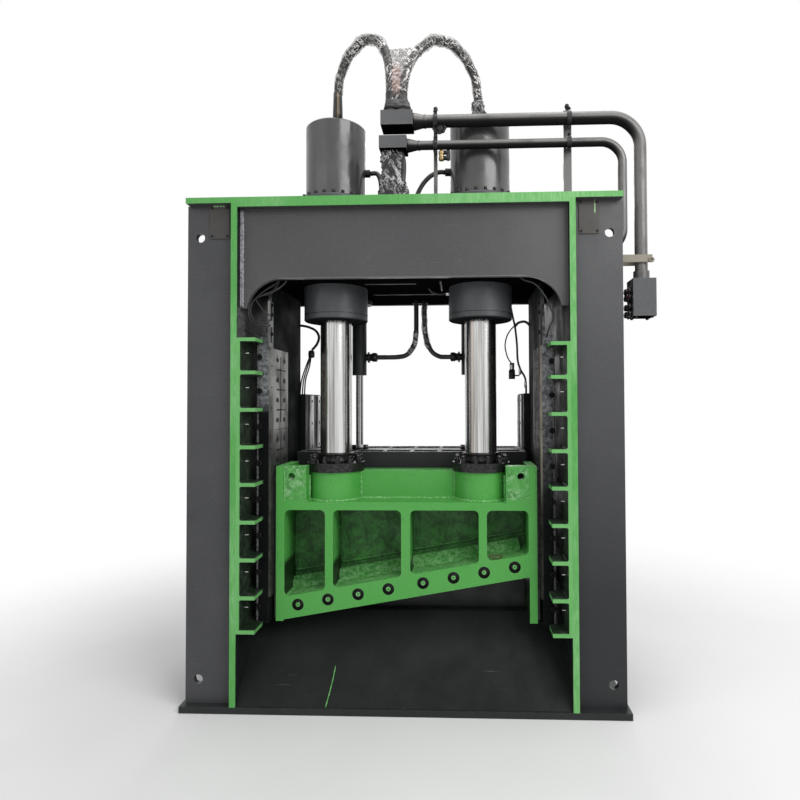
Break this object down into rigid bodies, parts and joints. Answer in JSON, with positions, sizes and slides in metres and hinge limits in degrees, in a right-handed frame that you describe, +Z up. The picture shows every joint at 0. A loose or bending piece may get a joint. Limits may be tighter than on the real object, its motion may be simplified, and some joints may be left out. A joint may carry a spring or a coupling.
{
  "type": "gantry shear",
  "caption": "Head of a hydraulic gantry shear: a portal frame with ladder guides, two cylinders over a slanted knife slide, a clamp behind it and pipework on top.",
  "frame": {"origin": "centre of the base plate's underside", "axes": "+Z up, +X to the right seen from the discharge side, +Y back towards the feed side"},
  "size_m": [3.322, 1.5, 4.9348],
  "materials": {
    "green_paint": "semi-gloss paint",
    "black_paint": "satin paint",
    "charcoal_paint": "satin paint",
    "bare_steel": "ground steel",
    "chrome_rod": "polished hard chrome",
    "pipe_paint": "satin paint",
    "bracket_paint": "matt primer",
    "cover_paint": "satin paint",
    "hose_rubber": "matt rubber",
    "black_steel": "blackened steel"
  },
  "bodies": {
    "frame": {"base_plate": "black_paint", "side_plate_left": "black_paint", "side_plate_right": "black_paint", "front_flange_left": "charcoal_paint", "front_flange_right": "charcoal_paint", "rear_flange_left": "charcoal_paint", "rear_flange_right": "charcoal_paint", "column_stiffeners_left": "black_paint", "column_stiffeners_right": "black_paint", "top_plate": "green_paint", "crossbeam_front_plate": "charcoal_paint", "crossbeam_rear_plate": "black_paint", "crossbeam_floor_plate": "black_paint", "crossbeam_ribs": "black_paint", "cover_plates": "cover_paint", "ladder_left": "green_paint", "ladder_right": "green_paint", "guide_wall_left": "black_paint", "guide_wall_right": "black_paint", "wear_plates_left": "bare_steel", "wear_plates_right": "bare_steel", "limit_switch_bars": "bare_steel", "chute_plate": "black_paint", "bed_block": "black_paint", "floor_liner": "bare_steel", "rear_side_walls": "black_paint", "lower_blades": "bare_steel", "main_cylinder_left": "charcoal_paint", "main_cylinder_right": "charcoal_paint", "cylinder_flange_bolts": "black_steel", "gland_left": "charcoal_paint", "gland_right": "charcoal_paint", "cylinder_ports": "black_steel", "clamp_cylinder_left": "black_paint", "clamp_cylinder_right": "black_paint", "clamp_ports": "black_steel", "upper_pipe": "pipe_paint", "lower_pipe": "pipe_paint", "pipe_posts": "pipe_paint", "pipe_clamps": "black_steel", "upper_junction_block": "pipe_paint", "lower_junction_block": "pipe_paint", "pipe_bracket": "bracket_paint", "pipe_flange_block": "pipe_paint", "flange_block_bolts": "black_steel", "main_hose_left": "hose_rubber", "main_hose_right": "hose_rubber", "supply_hoses": "hose_rubber", "drain_hoses": "hose_rubber", "clamp_hoses": "hose_rubber"},
    "knife_slide": {"knife_slide": "green_paint", "slide_liners": "black_steel", "upper_blades": "bare_steel", "upper_blade_bolts": "black_steel", "piston_rod_left": "chrome_rod", "piston_rod_right": "chrome_rod", "rod_flanges": "black_steel"},
    "clamp": {"clamp_beam": "black_paint", "clamp_rods": "chrome_rod", "clamp_pads": "bare_steel"}
  },
  "joints": [
    {"name": "slide_stroke", "type": "slide", "parent": "frame", "child": "knife_slide", "axis": [0, 0, 1], "range_m": [0, 0.95]},
    {"name": "clamp_stroke", "type": "slide", "parent": "frame", "child": "clamp", "axis": [0, 0, 1], "range_m": [0, 0.58]}
  ]
}
